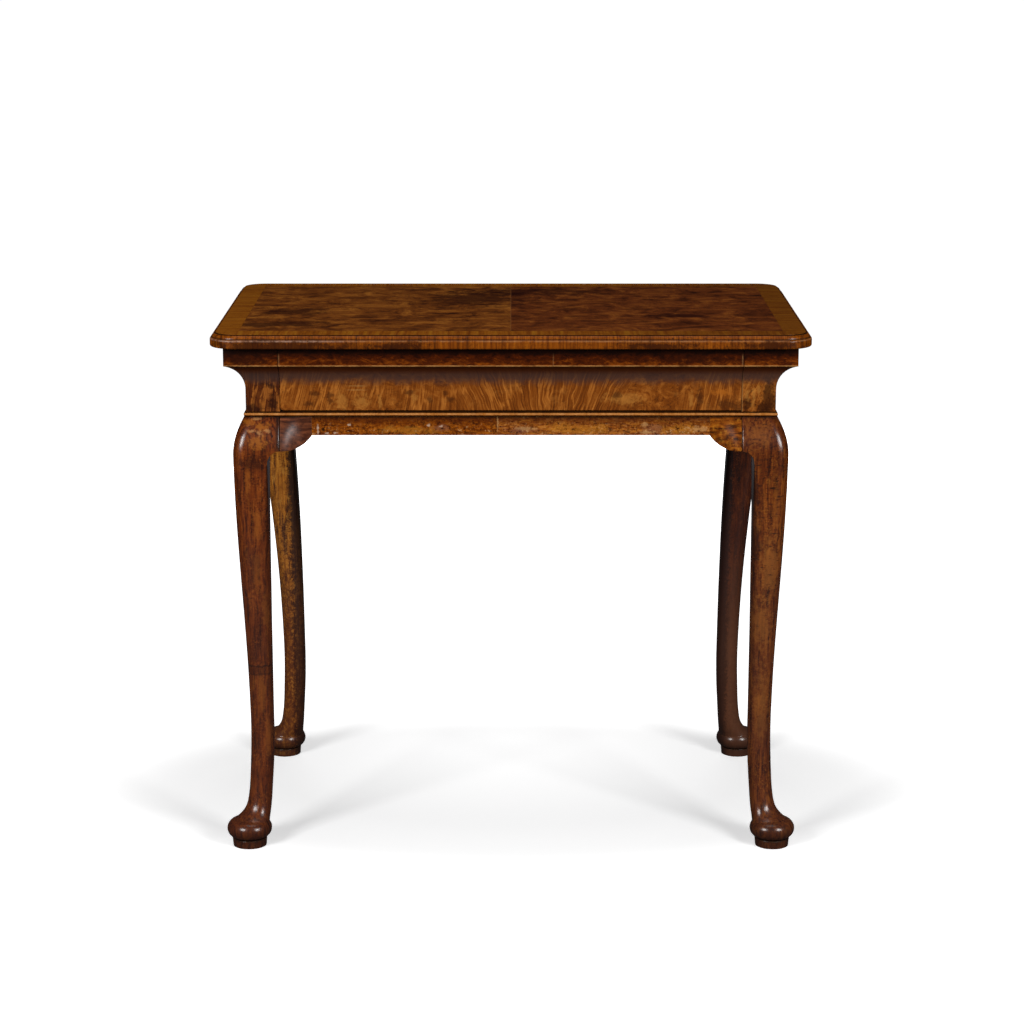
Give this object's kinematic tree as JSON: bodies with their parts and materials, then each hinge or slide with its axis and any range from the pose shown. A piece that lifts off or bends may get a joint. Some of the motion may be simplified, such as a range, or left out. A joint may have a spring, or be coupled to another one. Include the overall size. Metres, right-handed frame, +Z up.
{
  "type": "center table",
  "caption": "Walnut center table on cabriole legs with pad feet, veneered top, hollow-moulded frieze and a concealed drawer that slides out of the front.",
  "frame": {"origin": "on the floor under the middle of the table", "axes": "+X along the long side to the right as seen from the front, +Y to the back, +Z up; the drawer opens to -Y"},
  "size_m": [0.791, 0.483, 0.711],
  "materials": {
    "burr_walnut_veneer": "waxed gloss",
    "walnut_crossband": "waxed gloss",
    "walnut_moulding": "waxed gloss",
    "walnut_frieze": "waxed gloss",
    "walnut_facing": "waxed gloss",
    "walnut_solid": "waxed gloss",
    "pine_carcase": "raw, dry",
    "oak_drawer": "raw, dry",
    "iron_nail": "dull, rusted"
  },
  "bodies": {
    "frame": {"veneer_left": "burr_walnut_veneer", "veneer_right": "burr_walnut_veneer", "crossband_front": "walnut_crossband", "crossband_back": "walnut_crossband", "crossband_left": "walnut_crossband", "crossband_right": "walnut_crossband", "edge_moulding_front": "walnut_moulding", "edge_moulding_back": "walnut_moulding", "edge_moulding_left": "walnut_moulding", "edge_moulding_right": "walnut_moulding", "bead_front": "walnut_moulding", "bead_back": "walnut_moulding", "bead_left": "walnut_moulding", "bead_right": "walnut_moulding", "frieze_back": "walnut_frieze", "frieze_left": "walnut_frieze", "frieze_right": "walnut_frieze", "frieze_return_left": "walnut_frieze", "frieze_return_right": "walnut_frieze", "facing_front_left": "walnut_facing", "facing_front_right": "walnut_facing", "facing_back": "walnut_facing", "facing_left": "walnut_facing", "facing_right": "walnut_facing", "leg_front_left": "walnut_solid", "leg_front_right": "walnut_solid", "leg_back_left": "walnut_solid", "leg_back_right": "walnut_solid", "bracket_front_left": "walnut_solid", "bracket_front_right": "walnut_solid", "bracket_back_left": "walnut_solid", "bracket_back_right": "walnut_solid", "bracket_left_front": "walnut_solid", "bracket_left_back": "walnut_solid", "bracket_right_front": "walnut_solid", "bracket_right_back": "walnut_solid", "top_board": "pine_carcase", "rail_left": "pine_carcase", "rail_right": "pine_carcase", "rail_back": "pine_carcase", "drawer_rail": "pine_carcase", "glue_blocks": "pine_carcase", "tenon_pegs": "oak_drawer", "drawer_runner_left": "oak_drawer", "drawer_runner_right": "oak_drawer", "drawer_guide_left": "oak_drawer", "drawer_guide_right": "oak_drawer", "drawer_kicker_left": "oak_drawer", "drawer_kicker_right": "oak_drawer", "drawer_stops": "oak_drawer"},
    "drawer": {"drawer_front": "walnut_frieze", "drawer_side_left": "oak_drawer", "drawer_side_right": "oak_drawer", "drawer_back": "oak_drawer", "drawer_bottom": "oak_drawer", "drawer_bottom_nails": "iron_nail"}
  },
  "joints": [
    {"name": "drawer_slide", "type": "slide", "parent": "frame", "child": "drawer", "axis": [0, -1, 0], "range_m": [0, 0.25]}
  ]
}
